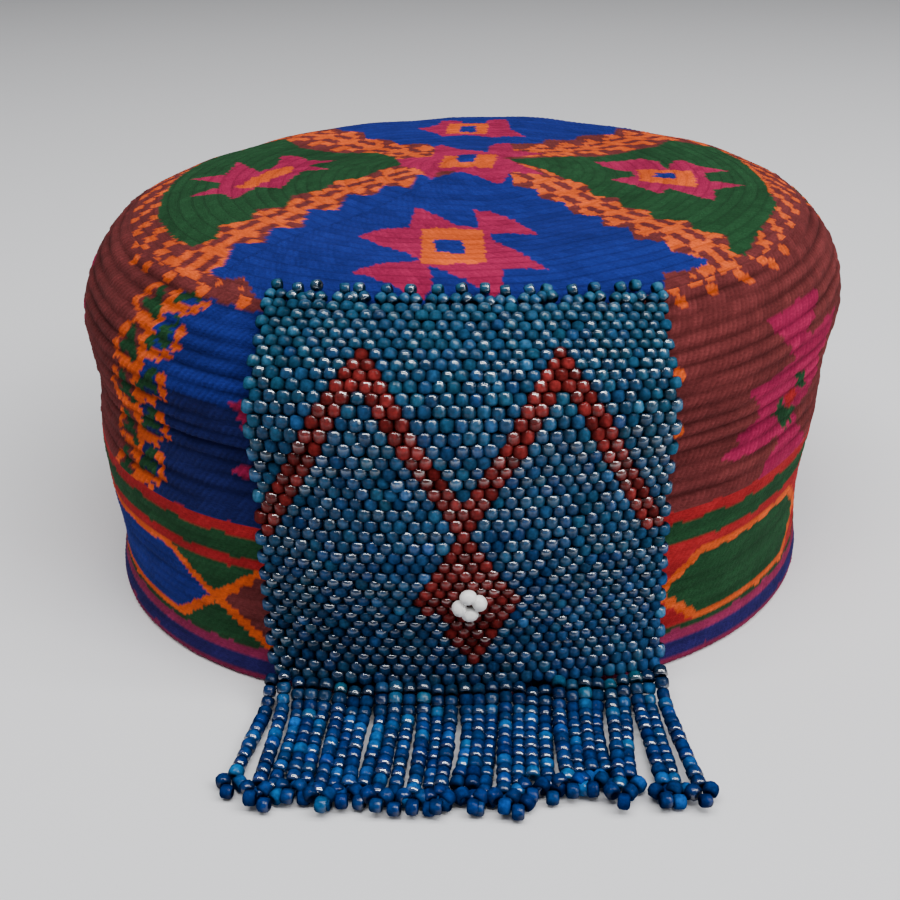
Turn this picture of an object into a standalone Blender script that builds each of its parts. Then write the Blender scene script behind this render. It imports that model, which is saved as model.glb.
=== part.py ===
"""A tubeteika skullcap: a crocheted cap, a bead panel sewn to its front and the panel's bead fringe.

Metres, +Z up, the front faces -Y. The cap stands on its rim at z = 0, as it does on a table.
A place on the cap is an azimuth (0 at the front, growing towards +X) and an arc length, which
runs from the rim up the wall and over the crown to its centre.
"""

import math

import bmesh
import bpy
import numpy as np

# The cap's fabric
WALL = 0.0035  # thickness of the crocheted wool
RIM_ROUNDING = 0.0008  # radius of the rim's edges
SIDES = 60  # facets round the cap
CAP_RADIUS = 0.092  # widest radius of the outline below
UPPER_WALL = 0.085  # height where the wall has all of its upper lean

# The outer outline from the rim to the crown's centre, if the cap were round: (section, radius, height)
OUTLINE = (
    ("rim", 0.0889, 0.0),
    ("border", 0.0878, 0.0080),
    ("stripe", 0.0911, 0.0402),
    ("wall, low", 0.0904, 0.0540),
    ("wall, high", 0.0920, 0.0677),
    ("shoulder", 0.0827, 0.0858),
    ("crown edge", 0.0760, 0.0893),
    ("crown", 0.0400, 0.0923),
    ("crown centre", 0.0, 0.0963),
)

# How far the soft wall leaves that circle, outwards, every 45 degrees: (direction, at the rim, at the top)
LEAN = (
    ("front", 0.0006, -0.0101),
    ("front right", 0.0010, -0.0074),
    ("right", -0.0028, 0.0018),
    ("back right", -0.0060, 0.0037),
    ("back", -0.0045, 0.0012),
    ("back left", -0.0030, 0.0043),
    ("left", 0.0078, 0.0071),
    ("front left", 0.0118, -0.0006),
)
FRONT_DIP = 0.0045  # the crown sags this far at its front edge
CROWN_DRIFT = (0.0024, 0.0036)  # the crown's centre lies off the axis by this

# The wall's ribs: each is one round of crochet
RIBS_FROM = 0.040  # arc length where the border ends
RIBS = 15
RIB_HEIGHT = 0.0033
GROOVE = 0.0004  # depth between two ribs
BORDER_ROWS = (0.002, 0.005, 0.008, 0.012, 0.017, 0.022, 0.027, 0.032, 0.036)
CROWN_ROWS = (0.092, 0.0945, 0.097, 0.100, 0.104, 0.110, 0.119, 0.130, 0.142, 0.154, 0.165)
INSIDE_ROWS = (
    (0.005, 0.012, 0.022, 0.032, 0.042, 0.052, 0.062, 0.071, 0.078, 0.083)
    + (0.087, 0.091, 0.095, 0.100, 0.108, 0.120, 0.136, 0.155)
)

# The bead panel: a bent sheet, one bead thick
GAP = 0.0003  # between pieces that touch
BEAD = 0.003  # diameter of a seed bead
PANEL_CENTRE = math.radians(-0.8)  # azimuth of its middle
PANEL_TOP = 0.0940  # arc length of the top edge's middle
PANEL_TOP_DROP = 0.0040  # the top edge's ends lie this much lower
PANEL_TOP_SLANT = 0.0015  # and its right end this much lower again, its left end higher
PANEL_FOOT = 0.0035  # height of the lower edge
PANEL_COLUMNS = 16
PANEL_ROWS = 20

# Half of the panel's width along the round outline: (place, share of its height, half width)
PANEL_WIDTHS = (
    ("foot", 0.0, 0.0432),
    ("middle", 0.5, 0.0455),
    ("widest", 0.75, 0.0473),
    ("top", 1.0, 0.0460),
)

# How far the panel's foot stands forward of the cap: (place, distance)
PANEL_STANDS_OFF = (("left", 0.0024), ("middle", 0.0), ("right", 0.0074))
STANDS_OFF_BELOW = 0.040  # arc length where that starts

# The fringe's locks on the table, left to right: (strands, tip's shift to the right, reach)
LOCKS = (
    (1, -0.0030, 0.0285),
    (2, -0.0008, 0.0305),
    (2, -0.0010, 0.0300),
    (2, -0.0016, 0.0310),
    (2, -0.0020, 0.0300),
    (2, -0.0022, 0.0310),
    (2, -0.0018, 0.0315),
    (2, -0.0022, 0.0305),
    (2, -0.0020, 0.0310),
    (2, -0.0015, 0.0315),
    (2, -0.0008, 0.0285),
    (2, -0.0003, 0.0280),
    (2, 0.0004, 0.0275),
    (2, 0.0004, 0.0305),
    (2, 0.0026, 0.0310),
    (1, 0.0042, 0.0315),
)
LOCK_STEPS = 4
LOCK_GAP = 0.0005  # between two locks where they leave the head

# The cap's axis, placed so that the whole thing stands centred on the origin
AXIS = (0.0032, 0.0162)

RIM, TOP = 1, 2  # columns of LEAN


def spline(places, values, at):
    """Values at the given places along a natural cubic spline."""
    step = np.diff(places)
    slope = np.diff(values) / step
    system = np.eye(len(places))
    for i in range(1, len(places) - 1):
        system[i, i - 1 : i + 2] = step[i - 1], 2 * (step[i - 1] + step[i]), step[i]
    bend = np.linalg.solve(system, np.r_[0, 6 * np.diff(slope), 0])
    i = np.clip(np.searchsorted(places, at) - 1, 0, len(step) - 1)
    near, far = at - places[i], places[i + 1] - at
    return (
        (bend[i] * far**3 + bend[i + 1] * near**3) / (6 * step[i])
        + (values[i] / step[i] - bend[i] * step[i] / 6) * far
        + (values[i + 1] / step[i] - bend[i + 1] * step[i] / 6) * near
    )


def finely_drawn_outline():
    """(arc length, radius, height) along OUTLINE, whose mirror image keeps the centre smooth."""
    rows = np.array([row[1:] for row in OUTLINE])
    rows = np.vstack([rows, rows[-2::-1] * (-1, 1)])
    places = np.r_[0, np.cumsum(np.hypot(*np.diff(rows, axis=0).T))]
    fine = np.linspace(0, places[len(OUTLINE) - 1], 800)
    radius, height = (spline(places, column, fine) for column in rows.T)
    arc = np.r_[0, np.cumsum(np.hypot(np.diff(radius), np.diff(height)))]
    return arc, radius, height


ARC, RADIUS, HEIGHT = finely_drawn_outline()
OUTWARDS = np.stack([np.gradient(HEIGHT, ARC), -np.gradient(RADIUS, ARC)])


def outline(arc, outwards=0.0):
    """(radius, height) at this arc length, moved off the outline."""
    radius = np.interp(arc, ARC, RADIUS) + outwards * np.interp(arc, ARC, OUTWARDS[0])
    height = np.interp(arc, ARC, HEIGHT) + outwards * np.interp(arc, ARC, OUTWARDS[1])
    return radius, height


def lean(column, azimuth):
    """The Fourier series through one column of LEAN."""
    values = np.array([row[column] for row in LEAN])
    terms = np.fft.rfft(values) / len(values)
    terms[1:-1] *= 2
    return sum((term * np.exp(1j * k * azimuth)).real for k, term in enumerate(terms))


def settled(radius, height, azimuth):
    """Where a point of the round cap lies once the soft cap has settled."""
    share = radius / CAP_RADIUS
    up = min(max(height / UPPER_WALL, 0.0), 1.0)
    radius += share * (lean(RIM, azimuth) * (1 - up) + lean(TOP, azimuth) * up)
    height -= FRONT_DIP * max(math.cos(azimuth), 0.0) ** 2 * up**3 * share**2
    inner = max(1 - share, 0.0)
    x = radius * math.sin(azimuth) + CROWN_DRIFT[0] * inner + AXIS[0]
    y = -radius * math.cos(azimuth) + CROWN_DRIFT[1] * inner + AXIS[1]
    return x, y, height


def on_cap(arc, azimuth, outwards=0.0):
    radius, height = outline(arc, outwards)
    return np.array(settled(radius, height, azimuth))


def material(name, colour, roughness):
    made = bpy.data.materials.new(name)
    made.use_nodes = True
    shader = made.node_tree.nodes["Principled BSDF"]
    shader.inputs["Base Color"].default_value = (*colour, 1.0)
    shader.inputs["Roughness"].default_value = roughness
    shader.inputs["Metallic"].default_value = 0.0
    made.diffuse_color = (*colour, 1.0)
    return made


def finished(name, mesh, colour, roughness, sharp_angle=50):
    """The bmesh as an object of its own, faces outwards, with its material."""
    bmesh.ops.recalc_face_normals(mesh, faces=mesh.faces)
    data = bpy.data.meshes.new(name)
    mesh.to_mesh(data)
    mesh.free()
    data.shade_smooth()
    data.set_sharp_from_angle(angle=math.radians(sharp_angle))
    data.materials.append(material(name, colour, roughness))
    piece = bpy.data.objects.new(name, data)
    bpy.context.scene.collection.objects.link(piece)
    return piece


def cap_section():
    """The fabric's cross-section as (radius, height), from the crown's top out, down and back inside."""
    ribs = [RIBS_FROM + RIB_HEIGHT * i / 2 for i in range(2 * RIBS + 1)]
    section = [(0.0, HEIGHT[-1])]
    section += [outline(arc) for arc in reversed(CROWN_ROWS)]
    section += [
        outline(arc, -GROOVE if i % 2 == 0 else 0.0)
        for i, arc in reversed(list(enumerate(ribs)))
    ]
    section += [outline(arc) for arc in reversed(BORDER_ROWS)]
    rim_radius = RADIUS[0]
    section.append((rim_radius, RIM_ROUNDING))
    section.append((rim_radius - RIM_ROUNDING, 0.0))
    section.append((rim_radius - WALL + RIM_ROUNDING, 0.0))
    section.append((rim_radius - WALL, RIM_ROUNDING))
    section += [outline(arc, -WALL) for arc in INSIDE_ROWS]
    section.append((0.0, HEIGHT[-1] - WALL))
    return section


def crocheted_cap():
    """One fabric: crown, ribbed wall and border, worked in a single spiral."""
    mesh = bmesh.new()
    corners = [mesh.verts.new((radius, 0.0, height)) for radius, height in cap_section()]
    edges = [mesh.edges.new(pair) for pair in zip(corners, corners[1:])]
    bmesh.ops.spin(
        mesh, geom=corners + edges, cent=(0, 0, 0), axis=(0, 0, 1),
        angle=2 * math.pi, steps=SIDES, use_merge=True,
    )
    bmesh.ops.remove_doubles(mesh, verts=mesh.verts, dist=1e-6)
    for corner in mesh.verts:
        x, y, height = corner.co
        corner.co = settled(math.hypot(x, y), height, math.atan2(x, -y))
    return finished("crocheted_cap", mesh, (0.10, 0.13, 0.32), 0.95)


def panel_place(across, up, outwards=GAP, foot=PANEL_FOOT):
    """A point of the panel's back: across runs from -1 to 1, and up from 0 at its foot to 1."""
    top = PANEL_TOP - PANEL_TOP_DROP * across**2 - PANEL_TOP_SLANT * across
    arc = foot + (top - foot) * up
    _, shares, halves = zip(*PANEL_WIDTHS)
    azimuth = PANEL_CENTRE + across * np.interp(up, shares, halves) / outline(arc)[0]
    left, middle, right = (distance for _, distance in PANEL_STANDS_OFF)
    off = middle + (right - left) / 2 * across + ((right + left) / 2 - middle) * across**2
    off *= max(1 - max(arc, PANEL_FOOT) / STANDS_OFF_BELOW, 0.0) ** 2
    return on_cap(arc, azimuth, outwards) - (0.0, off, 0.0)


def bead_panel():
    """The brick-stitched sheet of seed beads, as one bent solid, a bead thick."""
    mesh = bmesh.new()
    bmesh.ops.create_grid(mesh, x_segments=PANEL_COLUMNS, y_segments=PANEL_ROWS, size=1.0)
    front = bmesh.ops.extrude_face_region(mesh, geom=list(mesh.faces))["geom"]
    for corner in (item for item in front if isinstance(item, bmesh.types.BMVert)):
        corner.co.z = 1.0
    for corner in mesh.verts:
        across, up, forward = corner.co
        corner.co = panel_place(across, (up + 1) / 2, GAP + BEAD * forward)
    return finished("bead_panel", mesh, (0.02, 0.22, 0.36), 0.15)


def head_place(across, forward):
    """A point of the fringe's head in plan, under the panel's foot: forward runs from 0 to 1 bead."""
    x, y, _ = panel_place(across, 0.0, GAP + BEAD * forward, foot=0.0)
    return x, y


def bead_fringe():
    """Thirty short bead strands splayed on the table, as locks that grow out of one head."""
    strands = sum(lock[0] for lock in LOCKS)
    ends = np.cumsum([0] + [lock[0] for lock in LOCKS]) * 2 / strands - 1
    height = PANEL_FOOT - GAP
    mesh = bmesh.new()
    bmesh.ops.create_grid(mesh, x_segments=len(LOCKS), y_segments=1, size=1.0)
    for corner in mesh.verts:
        column = round((corner.co.x + 1) / 2 * len(LOCKS))
        corner.co = (*head_place(ends[column], (1 - corner.co.y) / 2), 0.0)
    raised = bmesh.ops.extrude_face_region(mesh, geom=list(mesh.faces))
    for corner in (item for item in raised["geom"] if isinstance(item, bmesh.types.BMVert)):
        corner.co.z = height
    bmesh.ops.recalc_face_normals(mesh, faces=mesh.faces)
    fronts = [face for face in mesh.faces if face.normal.y < -0.9]
    fronts.sort(key=lambda face: face.calc_center_median().x)
    for step in range(LOCK_STEPS + 1):
        if step == 0:
            bmesh.ops.inset_individual(mesh, faces=fronts, thickness=LOCK_GAP / 2)
        else:
            fronts = bmesh.ops.extrude_discrete_faces(mesh, faces=fronts)["faces"]
            fronts.sort(key=lambda face: face.calc_center_median().x)
        share = step / LOCK_STEPS
        for face, (_, shift, reach), left, right in zip(fronts, LOCKS, ends, ends[1:]):
            middle = face.calc_center_median()
            start, stop = head_place(left, 1.0), head_place(right, 1.0)
            half = (stop[0] - start[0] - LOCK_GAP) / 2
            centre_x = (start[0] + stop[0]) / 2 + shift * share
            centre_y = (start[1] + stop[1]) / 2 - reach * share
            for corner in face.verts:
                side = math.copysign(half, corner.co.x - middle.x)
                corner.co.x = centre_x + side
                corner.co.z = 0.0 if corner.co.z < middle.z else BEAD
                corner.co.y = centre_y if step else corner.co.y
    return finished("bead_fringe", mesh, (0.02, 0.16, 0.38), 0.15, sharp_angle=30)


for old in list(bpy.data.objects):
    bpy.data.objects.remove(old)

crocheted_cap()
bead_panel()
bead_fringe()
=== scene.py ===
"""A tubeteika skullcap on a table: crocheted wool, a woven panel of seed beads and its bead fringe.

A place on the cap is an azimuth (0 at the front, growing towards +X) and an arc length, which
runs from the rim up the wall and over the crown to its centre.
"""

import math

import bpy
import numpy as np
from mathutils import Matrix


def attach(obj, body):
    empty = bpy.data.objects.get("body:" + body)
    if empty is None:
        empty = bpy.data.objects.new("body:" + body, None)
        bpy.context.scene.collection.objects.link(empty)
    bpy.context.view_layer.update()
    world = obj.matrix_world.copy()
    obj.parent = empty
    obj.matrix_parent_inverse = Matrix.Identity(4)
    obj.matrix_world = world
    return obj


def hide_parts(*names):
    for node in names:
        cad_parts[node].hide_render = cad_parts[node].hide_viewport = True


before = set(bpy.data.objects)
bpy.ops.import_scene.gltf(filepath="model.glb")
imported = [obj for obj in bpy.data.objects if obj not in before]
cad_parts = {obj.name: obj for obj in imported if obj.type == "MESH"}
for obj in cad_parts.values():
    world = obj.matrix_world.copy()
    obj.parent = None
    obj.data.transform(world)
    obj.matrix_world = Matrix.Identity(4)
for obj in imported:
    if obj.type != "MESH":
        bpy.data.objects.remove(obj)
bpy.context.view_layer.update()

# Crown
# The flat top of the cap: wool in single crochet, worked round and round from the centre, with the
# pattern's colours changed from stitch to stitch.

WALL = 0.0035  # thickness of the fabric
CAP_RADIUS = 0.092  # widest radius of the outline below
UPPER_WALL = 0.085  # height where the wall has all of its upper lean
FRONT_DIP = 0.0045  # the crown sags this far at its front edge
BACK_RISE = 0.0031  # and its edge stands this much higher at the back, most of all on the left
BACK_RISE_TURN = math.radians(20)
CROWN_DRIFT = (0.0024, 0.0036)  # the crown's centre lies off the axis by this
AXIS = (0.0032, 0.0162)  # the cap's axis

# The outer outline from the rim to the crown's centre, if the cap were round: (section, radius, height)
OUTLINE = (
    ("rim", 0.0889, 0.0),
    ("border", 0.0878, 0.0080),
    ("stripe", 0.0911, 0.0402),
    ("wall, low", 0.0904, 0.0540),
    ("wall, high", 0.0920, 0.0677),
    ("shoulder", 0.0827, 0.0858),
    ("crown edge", 0.0760, 0.0893),
    ("crown", 0.0400, 0.0923),
    ("crown centre", 0.0, 0.0963),
)

# How far the soft wall leaves that circle, outwards, every 45 degrees:
# (direction, at the rim, at the top, and besides at the waist)
LEAN = (
    ("front", 0.0006, -0.0101, 0.0),
    ("front right", 0.0022, -0.0074, -0.0008),
    ("right", -0.0014, 0.0018, -0.0022),
    ("back right", -0.0060, 0.0037, -0.0010),
    ("back", -0.0045, 0.0012, 0.0),
    ("back left", -0.0030, 0.0043, 0.0),
    ("left", 0.0078, 0.0071, 0.0006),
    ("front left", 0.0118, -0.0006, 0.0),
)
RIM, TOP, WAIST = 1, 2, 3  # columns of LEAN
WAIST_HEIGHT = 0.033
WAIST_REACH = 0.012  # up and down from there


def spline(places, values, at):
    """Values at the given places along a natural cubic spline."""
    step = np.diff(places)
    slope = np.diff(values) / step
    system = np.eye(len(places))
    for i in range(1, len(places) - 1):
        system[i, i - 1 : i + 2] = step[i - 1], 2 * (step[i - 1] + step[i]), step[i]
    bend = np.linalg.solve(system, np.r_[0, 6 * np.diff(slope), 0])
    i = np.clip(np.searchsorted(places, at) - 1, 0, len(step) - 1)
    near, far = at - places[i], places[i + 1] - at
    return (
        (bend[i] * far**3 + bend[i + 1] * near**3) / (6 * step[i])
        + (values[i] / step[i] - bend[i] * step[i] / 6) * far
        + (values[i + 1] / step[i] - bend[i + 1] * step[i] / 6) * near
    )


def finely_drawn_outline():
    """(arc length, radius, height) along OUTLINE, whose mirror image keeps the centre smooth."""
    rows = np.array([row[1:] for row in OUTLINE])
    rows = np.vstack([rows, rows[-2::-1] * (-1, 1)])
    places = np.r_[0, np.cumsum(np.hypot(*np.diff(rows, axis=0).T))]
    fine = np.linspace(0, places[len(OUTLINE) - 1], 800)
    radius, height = (spline(places, column, fine) for column in rows.T)
    arc = np.r_[0, np.cumsum(np.hypot(np.diff(radius), np.diff(height)))]
    return arc, radius, height


ARC, RADIUS, HEIGHT = finely_drawn_outline()
OUTWARDS = np.stack([np.gradient(HEIGHT, ARC), -np.gradient(RADIUS, ARC)])


def outline(arc, outwards=0.0):
    """(radius, height) at this arc length, moved off the outline."""
    radius = np.interp(arc, ARC, RADIUS) + outwards * np.interp(arc, ARC, OUTWARDS[0])
    height = np.interp(arc, ARC, HEIGHT) + outwards * np.interp(arc, ARC, OUTWARDS[1])
    return radius, height


def lean(column, azimuth):
    """The Fourier series through one column of LEAN."""
    values = np.array([row[column] for row in LEAN])
    terms = np.fft.rfft(values) / len(values)
    terms[1:-1] *= 2
    return sum((term * np.exp(1j * k * azimuth)).real for k, term in enumerate(terms))


def settled(radius, height, azimuth):
    """Where points of the round cap lie once the soft cap has settled."""
    share = radius / CAP_RADIUS
    up = np.clip(height / UPPER_WALL, 0.0, 1.0)
    radius = radius + share * (lean(RIM, azimuth) * (1 - up) + lean(TOP, azimuth) * up)
    radius = radius + lean(WAIST, azimuth) * np.exp(-(((height - WAIST_HEIGHT) / WAIST_REACH) ** 2))
    rise = BACK_RISE * ((1 - np.cos(azimuth - BACK_RISE_TURN)) / 2) ** 2
    dip = FRONT_DIP * np.maximum(np.cos(azimuth), 0.0) ** 2
    height = height + (rise - dip) * up**3 * share**2
    inner = np.maximum(1 - share, 0.0)
    x = radius * np.sin(azimuth) + CROWN_DRIFT[0] * inner + AXIS[0]
    y = -radius * np.cos(azimuth) + CROWN_DRIFT[1] * inner + AXIS[1]
    return np.stack([x, y, height], axis=-1)


def on_cap(arc, azimuth, outwards=0.0):
    """Points of the settled cap, moved off the outline."""
    return settled(*outline(arc, outwards), azimuth)


# The share of red, green and blue light that each yarn gives back
YARNS = {
    "blue": (0.010, 0.019, 0.166),
    "deep blue": (0.010, 0.013, 0.085),
    "navy": (0.018, 0.013, 0.092),
    "maroon": (0.130, 0.025, 0.026),
    "magenta": (0.300, 0.012, 0.062),
    "plum": (0.210, 0.018, 0.064),
    "orange": (0.620, 0.085, 0.014),
    "red": (0.330, 0.014, 0.018),
    "green": (0.013, 0.055, 0.021),
    "dark green": (0.013, 0.042, 0.017),
}
YARN_NAMES = list(YARNS)
CROWN_STARTS = 0.0920  # arc length where the crown's first round begins
CROWN_ROUND = 0.0029
CROWN_STITCH = 0.0031
FEWEST_STITCHES = 6
CROWN_SHIFT = 0.03  # each round's first stitch lies this part of a turn further round
CROWN_RELIEF = (0.00016, 0.00015)  # height of a stitch's legs and depth of the grooves between rounds
CROWN_WAVERS = (0.45, 0.35)  # the pattern strays this far from its place, in mm to the right and back
CROWN_CELLS = 315  # quads along each side of the square that is bent into the disc

# The pattern's shapes seen from above: corners in mm from the crown's centre, to the right and the back
FRONT_PETAL = (
    ((-11, -10), (-15, -6), (-17, -15), (-23, -11), (-25, -17), (-31, -14), (-33, -25))
    + ((-39, -23), (-40, -36), (-46, -36), (-47, -44), (-53, -43), (-55, -52), (-58, -52))
    + ((-55, -56), (-50, -58), (-48, -64), (-46, -68), (-30, -90), (30, -90), (44, -67))
    + ((44, -63), (52, -58), (55, -54), (46, -54), (45, -50), (38, -50), (37, -43), (31, -42))
    + ((31, -34), (24, -32), (22, -25), (16, -24), (15, -18), (9, -18), (8, -9), (2, -2))
)
RIGHT_PETAL = (
    ((6, 3), (15, 9), (22, 14), (29, 17), (37, 22), (42, 26), (48, 29), (53, 37), (60, 36), (66, 38))
    + ((70, 23), (72, 8), (72, -7), (73, -17), (69, -31), (66, -40), (64, -47), (60, -48))
    + ((60, -41), (52, -41), (51, -36), (43, -36), (42, -28), (36, -26), (35, -19), (29, -19))
    + ((27, -11), (21, -8), (16, -3))
)
LEFT_PETAL = (
    ((-19, 6), (-22, 18), (-27, 26), (-37, 27), (-47, 32), (-55, 48), (-65, 39), (-71, 28))
    + ((-73, 8), (-74, -5), (-72, -20), (-67, -33), (-62, -41), (-57, -39), (-57, -31))
    + ((-51, -30), (-50, -22), (-44, -21), (-43, -12), (-37, -9), (-34, -2), (-28, -2), (-24, 3))
)
BACK_PETAL = (
    ((-45, 66), (-41, 58), (-38, 50), (-32, 48), (-31, 41), (-24, 40), (-22, 35), (-14, 36))
    + ((-6, 10), (5, 10), (8, 33), (18, 35), (19, 40), (27, 39), (29, 44), (39, 45))
    + ((41, 54), (48, 55), (50, 64), (30, 76), (0, 82), (-30, 76))
)
FRONT_STAR = (
    ((-16, -27), (-6, -40), (0, -42), (-1, -35), (-2, -31), (2, -32), (9, -37), (15, -47))
    + ((3, -46), (3, -50), (12, -60), (17, -66), (6, -66), (6, -74), (4, -77), (-3, -70))
    + ((-11, -64), (-10, -72), (-12, -76), (-15, -74), (-22, -68), (-28, -63), (-23, -61))
    + ((-13, -61), (-16, -57), (-25, -47), (-28, -43), (-24, -39), (-17, -39))
)
RIGHT_STAR = (
    ((29, 11), (37, 14), (42, 17), (46, 14), (48, 7), (50, 14), (53, 16), (56, 11), (64, 8))
    + ((57, 4), (57, -4), (66, -7), (58, -12), (58, -21), (55, -19), (51, -15), (47, -11))
    + ((45, -16), (39, -9), (33, -5), (39, -1), (39, 4), (33, 6))
)
LEFT_STAR = (
    ((-37, 9), (-43, 8), (-45, 0), (-46, -6), (-52, -4), (-56, -14), (-59, -8), (-67, -8))
    + ((-61, -3), (-61, 0), (-69, 5), (-61, 6), (-60, 18), (-53, 8), (-50, 14), (-50, 23))
    + ((-46, 23), (-43, 18), (-36, 18), (-42, 13))
)
CENTRE_STAR = (
    ((-21, 14), (-12, 12), (-12, 32), (-10, 35), (-5, 23), (2, 14), (3, 29), (5, 33), (9, 33))
    + ((9, 19), (17, 16), (10, 8), (5, 5), (9, 0), (16, -7), (8, -8), (6, -16), (3, -16))
    + ((-1, -12), (-5, -8), (-10, -5), (-12, -11), (-14, -6), (-15, -1), (-19, 4))
)
BACK_STAR = (
    ((-17, 54), (-11, 59), (-10, 65), (-4, 64), (-4, 60), (3, 61), (4, 65), (9, 65), (10, 60))
    + ((10, 52), (14, 43), (4, 44), (-3, 47), (-10, 45), (-11, 48))
)
# Later ones lie over earlier ones: (what, yarn, corners)
CROWN_SHAPES = (
    ("front petal", "blue", FRONT_PETAL),
    ("back petal", "blue", BACK_PETAL),
    ("right petal", "green", RIGHT_PETAL),
    ("left petal", "green", LEFT_PETAL),
    ("centre star", "magenta", CENTRE_STAR),
    ("its square", "orange", ((-10, -3), (-9, 11), (-6, 9), (-1, 10), (4, 9), (3, -6), (-4, -4))),
    ("its slot", "blue", ((-6, 1), (-6, 10), (-1, 10), (-2, 0))),
    ("front star", "magenta", FRONT_STAR),
    ("its square", "orange", ((-14, -41), (1, -43), (2, -63), (-13, -63))),
    ("its slot", "blue", ((-11, -49), (-4, -49), (-3, -58), (-10, -56))),
    ("right star", "magenta", RIGHT_STAR),
    ("its square", "orange", ((40, 7), (54, 6), (54, -10), (40, -5))),
    ("its slot", "blue", ((44, -1), (45, 4), (50, 3), (49, -3))),
    ("left star", "magenta", LEFT_STAR),
    ("its stripe", "orange", ((-57, -4), (-53, -5), (-45, 8), (-46, 13), (-50, 10))),
    ("back star", "magenta", BACK_STAR),
    ("its square", "orange", ((-9, 48), (-8, 60), (4, 60), (3, 48))),
    ("its slot", "blue", ((-5, 50), (-4, 57), (0, 57), (0, 50))),
)

# The bands between the petals: (corners along the band's middle)
CROWN_BANDS = (
    ((10, -4), (19, -14), (27, -23), (34, -30), (41, -37), (50, -45), (58, -53), (68, -60)),
    ((-13, -3), (-27, -8), (-36, -17), (-43, -27), (-50, -36), (-57, -45), (-66, -55)),
    ((11, 12), (16, 22), (26, 27), (36, 33), (47, 42), (56, 52)),
    ((-14, 10), (-20, 26), (-29, 33), (-38, 40), (-47, 47), (-56, 57)),
)
BAND_HALF_WIDTH = 9.0
BAND_CELL = (2.5, 2.9)  # across the band and along it
ROUNDS_FLATTENED = 0.92  # a round of the pattern is this much wider than it is deep
TEETH_START = 71.0  # the row of teeth outside the side petals, from the centre
TEETH_END = 81.0
TEETH_LINE = 2.2  # width of the row's inner edge, all in orange
TEETH_CELL = (2.9, 2.6)  # along the row and across it
TEETH_BESIDE = 50.0  # they lie further than this to the left or right
TEETH_UP_TO = 45.0  # and no further back than this


def within(corners, x, y):
    """Which points lie in the polygon: those with an odd number of its sides on their right."""
    inside = np.zeros(x.shape, bool)
    for (x0, y0), (x1, y1) in zip(corners, corners[1:] + corners[:1]):
        if y0 != y1:
            inside ^= ((y0 > y) != (y1 > y)) & (x < x0 + (y - y0) * (x1 - x0) / (y1 - y0))
    return inside


def along_line(corners, x, y):
    """(distance along, signed distance across) of each point from a line through the corners."""
    nearest = np.full(x.shape, np.inf)
    along, across = np.zeros(x.shape), np.zeros(x.shape)
    passed = 0.0
    for (x0, y0), (x1, y1) in zip(corners, corners[1:]):
        length = math.hypot(x1 - x0, y1 - y0)
        ux, uy = (x1 - x0) / length, (y1 - y0) / length
        share = np.clip((x - x0) * ux + (y - y0) * uy, 0, length)
        off = np.hypot(x - x0 - share * ux, y - y0 - share * uy)
        side = np.where((x - x0) * uy < (y - y0) * ux, -1, 1)
        better = off < nearest
        nearest = np.where(better, off, nearest)
        along = np.where(better, passed + share, along)
        across = np.where(better, off * side, across)
        passed += length
    return along, across


def dye(chart, where, yarn):
    """Put the yarn into the chart at the chosen places."""
    chart[where] = YARN_NAMES.index(yarn)


def crown_chart(x, y):
    """The yarn at each place of the crown, in mm from its centre."""
    chart = np.full(x.shape, YARN_NAMES.index("maroon"))
    out = np.hypot(x, y * ROUNDS_FLATTENED)
    teeth = (out > TEETH_START) & (out < TEETH_END) & (np.abs(x) > TEETH_BESIDE) & (y < TEETH_UP_TO)
    diagonal = (np.floor(y / TEETH_CELL[0]) + np.floor((out - TEETH_START) / TEETH_CELL[1])) % 3
    dye(chart, teeth & ((diagonal == 0) | (out < TEETH_START + TEETH_LINE)), "orange")
    for corners in CROWN_BANDS:
        along, across = along_line(corners, x, y)
        band = np.abs(across) < BAND_HALF_WIDTH
        column = np.abs(np.round(across / BAND_CELL[0]))
        row = np.floor(along / BAND_CELL[1]) % 3
        dye(chart, band, "maroon")
        dye(chart, band & ((column == 0) | ((column == 1) & (row == 0))), "orange")
        dye(chart, band & ((column == 2) & (row > 0)), "orange")
        dye(chart, band & ((column == 3) & (row == 2)), "orange")
    for _, yarn, corners in CROWN_SHAPES:
        dye(chart, within(corners, x, y), yarn)
    return chart


def ripple(x, y, seed):
    """Smooth waves between -1 and 1, a few units long: three sines that cross each other."""
    waves = np.sin(1.9 * x + 1.3 * y + seed) + np.sin(2.3 * y - 1.1 * x + 2.1 * seed)
    return (waves + np.sin(0.9 * x - 2.6 * y + 0.7 * seed)) / 3


STITCH_LEANS = 0.75  # from its foot to its head, in stitches


def slanted(stitch, row):
    """The stitch that each place belongs to, as every stitch leans towards the next one."""
    return stitch - STITCH_LEANS * (row % 1)


LEG_OFF, LEG_WIDTH = 0.24, 0.15  # a leg's place beside the stitch's middle, in stitches, and its width
RIB_FULLNESS = 0.7  # below 1 the rounds are fuller than a sine
LEGS_PULLED = (0.55, 0.9)  # a stitch's legs: their least height, and what chance adds
GROOVES_OPEN = (0.75, 0.65)  # the grooves' depth, and what wide waves add or take away


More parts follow.
